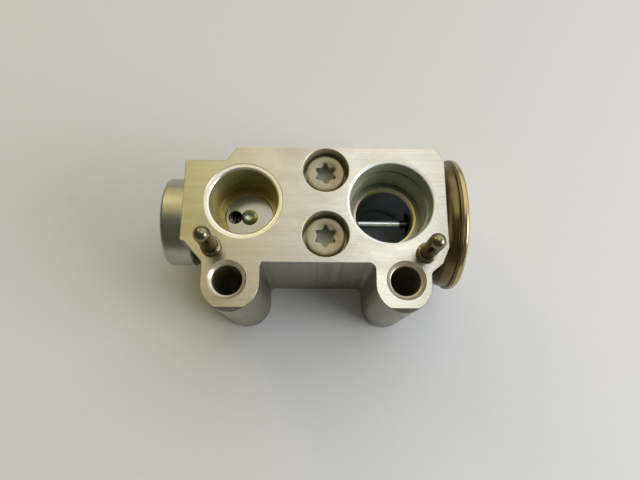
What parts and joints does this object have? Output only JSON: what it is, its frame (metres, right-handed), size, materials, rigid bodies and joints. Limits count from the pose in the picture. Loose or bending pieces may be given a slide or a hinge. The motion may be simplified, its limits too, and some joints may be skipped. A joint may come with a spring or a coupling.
{
  "type": "block-type thermostatic expansion valve",
  "caption": "Block-type thermostatic expansion valve: drilled aluminium block with ears, round power head, spring end cap, cap screws and locating pins.",
  "frame": {"origin": "on the evaporator face of the block, midway between the two mounting screws, below the valve axis", "axes": "+Z out of the pipe face, along the ports; +X along the valve axis towards the power head; the two ears reach towards -Y"},
  "size_m": [0.0725, 0.0399, 0.0446],
  "materials": {
    "milled_aluminium": "extruded block, face milled in fine straight lines",
    "turned_aluminium": "turned, satin",
    "zinc_flake": "matte grey zinc flake coating on steel",
    "ground_steel": "ground and polished steel",
    "yellow_steel": "pressed steel with a yellow passivation",
    "stainless_inner": "plain stainless steel",
    "spring_steel": "dark drawn spring wire",
    "brass_screw": "turned brass",
    "seal_rubber": "green HNBR rubber"
  },
  "bodies": {
    "valve_block": {"valve_body": "milled_aluminium", "end_cap": "turned_aluminium", "end_cap_o_ring": "seal_rubber", "rod_o_ring": "seal_rubber", "rod_seal_retainer": "stainless_inner", "head_lower_housing": "yellow_steel", "head_o_ring": "seal_rubber", "diaphragm": "stainless_inner", "head_upper_cover": "yellow_steel", "charge_plug": "stainless_inner", "mounting_screw_upper": "zinc_flake", "mounting_screw_lower": "zinc_flake", "locating_pin_left": "ground_steel", "locating_pin_right": "ground_steel"},
    "stem": {"push_rod": "ground_steel", "valve_ball": "stainless_inner", "ball_holder": "stainless_inner", "friction_ring": "spring_steel", "diaphragm_stopper": "stainless_inner"},
    "spring_carrier": {"spring_seat": "stainless_inner", "bias_spring": "spring_steel"},
    "adjuster": {"adjusting_screw": "brass_screw"}
  },
  "joints": [
    {"name": "stem_lift", "type": "slide", "parent": "valve_block", "child": "stem", "axis": [-1, 0, 0], "range_m": [0, 0.0007], "stiffness_N_per_m": 2000, "deforming": ["bias_spring", "diaphragm"]},
    {"name": "adjuster_advance", "type": "slide", "parent": "valve_block", "child": "spring_carrier", "axis": [1, 0, 0], "range_m": [-0.001, 0.001]},
    {"name": "adjuster_turn", "type": "hinge", "parent": "spring_carrier", "child": "adjuster", "pos_m": [-0.0274, 0, 0.01665], "axis": [1, 0, 0], "range_deg": [-361, 361]}
  ],
  "couplings": [
    {"joint": "adjuster_turn", "follows": "adjuster_advance", "rad_per_m": 6283.2}
  ]
}
